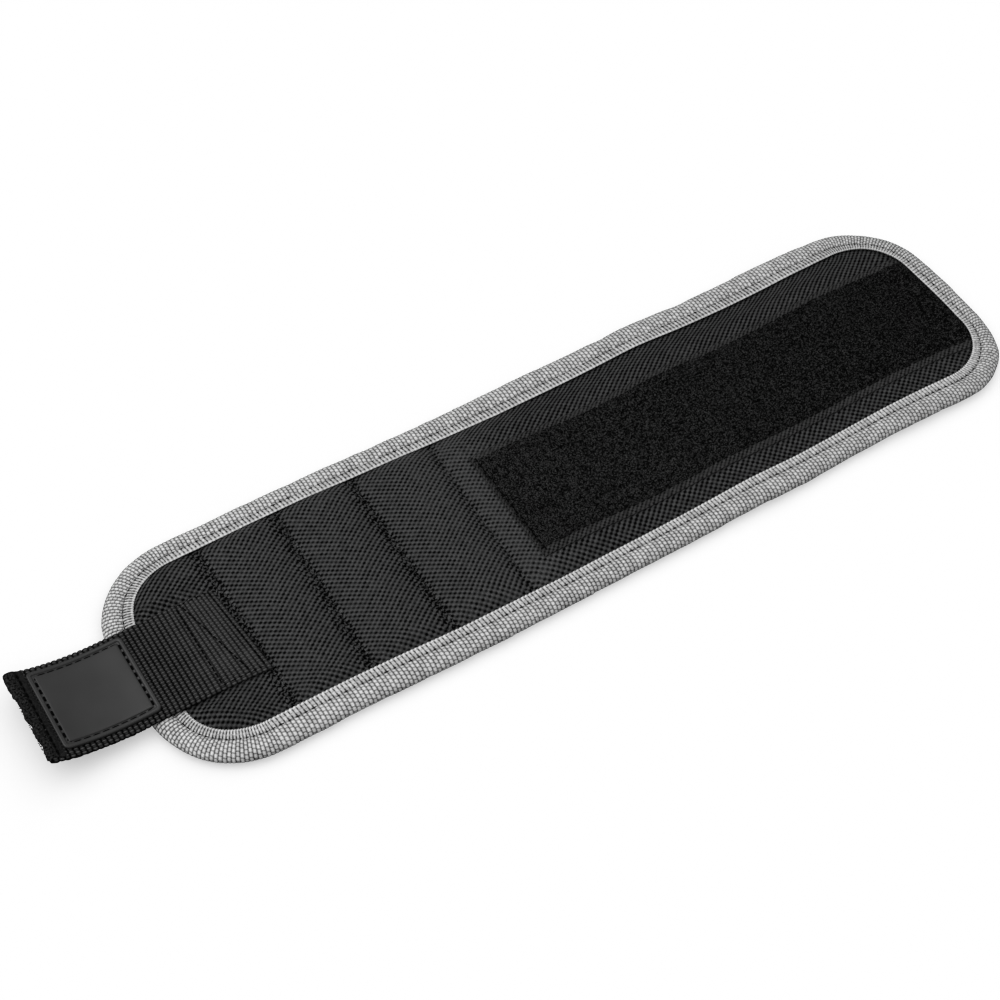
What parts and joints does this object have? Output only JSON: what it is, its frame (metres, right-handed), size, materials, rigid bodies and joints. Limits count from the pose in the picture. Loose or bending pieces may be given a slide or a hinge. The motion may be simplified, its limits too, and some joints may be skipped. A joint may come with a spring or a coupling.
{
  "type": "magnetic wristband",
  "caption": "Padded wrist band that holds screws and nails on magnets sealed in sewn channels, with a woven edge binding, and closed by a webbing tab with hook tape on a loop panel.",
  "frame": {"origin": "middle of the band's wrist side, on the lining's flat face", "axes": "+X along the band towards the end of the loop panel, +Y across it, +Z out of the outer face"},
  "size_m": [0.3797, 0.096, 0.0117],
  "materials": {
    "cover_cloth": "ballistic basket weave, black, slight sheen",
    "binding_tape": "ribbed woven tape, light grey",
    "lining_mesh": "foam-backed air mesh, black",
    "magnet": "nickel-plated",
    "loop_pile": "loop pile, black",
    "webbing": "ribbed webbing, black",
    "hook_tape": "hook tape, black",
    "badge": "satin moulded, blank",
    "thread": "bonded polyester thread, black"
  },
  "bodies": {
    "band_1": {"cover_1": "cover_cloth", "lining_1": "lining_mesh", "binding_tab_end": "binding_tape", "magnet_1_near": "magnet", "magnet_1_far": "magnet", "tab_root": "webbing"},
    "band_2": {"cover_2": "cover_cloth", "lining_2": "lining_mesh", "binding_near_2": "binding_tape", "binding_far_2": "binding_tape", "magnet_2_near": "magnet", "magnet_2_far": "magnet"},
    "band_3": {"cover_3": "cover_cloth", "lining_3": "lining_mesh", "binding_near_3": "binding_tape", "binding_far_3": "binding_tape", "magnet_3_near": "magnet", "magnet_3_far": "magnet"},
    "band_4": {"cover_4": "cover_cloth", "lining_4": "lining_mesh", "binding_near_4": "binding_tape", "binding_far_4": "binding_tape", "magnet_4_near": "magnet", "magnet_4_far": "magnet"},
    "band_5": {"cover_5": "cover_cloth", "lining_5": "lining_mesh", "binding_near_5": "binding_tape", "binding_far_5": "binding_tape", "magnet_5_near": "magnet", "magnet_5_far": "magnet", "loop_panel_5": "loop_pile"},
    "band_6": {"cover_6": "cover_cloth", "lining_6": "lining_mesh", "binding_near_6": "binding_tape", "binding_far_6": "binding_tape", "loop_panel_6": "loop_pile"},
    "band_7": {"cover_7": "cover_cloth", "lining_7": "lining_mesh", "binding_near_7": "binding_tape", "binding_far_7": "binding_tape", "loop_panel_7": "loop_pile"},
    "band_8": {"cover_8": "cover_cloth", "lining_8": "lining_mesh", "binding_near_8": "binding_tape", "binding_far_8": "binding_tape", "loop_panel_8": "loop_pile"},
    "band_9": {"cover_9": "cover_cloth", "lining_9": "lining_mesh", "binding_near_9": "binding_tape", "binding_far_9": "binding_tape", "loop_panel_9": "loop_pile"},
    "band_10": {"cover_10": "cover_cloth", "lining_10": "lining_mesh", "binding_loop_end": "binding_tape", "loop_panel_10": "loop_pile"},
    "tab": {"tab_webbing": "webbing", "hook_strip": "hook_tape", "badge": "badge"}
  },
  "joints": [
    {"name": "wrap", "type": "hinge", "parent": "band_6", "child": "band_5", "pos_m": [-0.006, 0, 0], "axis": [0, -1, 0], "range_deg": [0, 37.03]},
    {"name": "crease_4", "type": "hinge", "parent": "band_5", "child": "band_4", "pos_m": [-0.0397, 0, 0], "axis": [0, -1, 0], "range_deg": [0, 32.64]},
    {"name": "crease_3", "type": "hinge", "parent": "band_4", "child": "band_3", "pos_m": [-0.0705, 0, 0], "axis": [0, -1, 0], "range_deg": [0, 30.63]},
    {"name": "crease_2", "type": "hinge", "parent": "band_3", "child": "band_2", "pos_m": [-0.1006, 0, 0], "axis": [0, -1, 0], "range_deg": [0, 29.85]},
    {"name": "crease_1", "type": "hinge", "parent": "band_2", "child": "band_1", "pos_m": [-0.1298, 0, 0], "axis": [0, -1, 0], "range_deg": [0, 51.68]},
    {"name": "loop_fold_2", "type": "hinge", "parent": "band_6", "child": "band_7", "pos_m": [0.0326, 0, 0], "axis": [0, 1, 0], "range_deg": [0, 40.08]},
    {"name": "loop_fold_3", "type": "hinge", "parent": "band_7", "child": "band_8", "pos_m": [0.0712, 0, 0], "axis": [0, 1, 0], "range_deg": [0, 40.45]},
    {"name": "loop_fold_4", "type": "hinge", "parent": "band_8", "child": "band_9", "pos_m": [0.1099, 0, 0], "axis": [0, 1, 0], "range_deg": [0, 40.51]},
    {"name": "loop_fold_5", "type": "hinge", "parent": "band_9", "child": "band_10", "pos_m": [0.1485, 0, 0], "axis": [0, 1, 0], "range_deg": [0, 57.38]},
    {"name": "tab_flex", "type": "hinge", "parent": "band_1", "child": "tab", "pos_m": [-0.165, 0, 0.00695], "axis": [0, 1, 0], "range_deg": [-5, 80]}
  ],
  "couplings": [
    {"joint": "crease_4", "follows": "wrap", "ratio": 0.88055},
    {"joint": "crease_3", "follows": "wrap", "ratio": 0.8263},
    {"joint": "crease_2", "follows": "wrap", "ratio": 0.80516},
    {"joint": "crease_1", "follows": "wrap", "ratio": 1.3947},
    {"joint": "loop_fold_2", "follows": "wrap", "ratio": 1.0815},
    {"joint": "loop_fold_3", "follows": "wrap", "ratio": 1.0913},
    {"joint": "loop_fold_4", "follows": "wrap", "ratio": 1.0931},
    {"joint": "loop_fold_5", "follows": "wrap", "ratio": 1.5485}
  ]
}
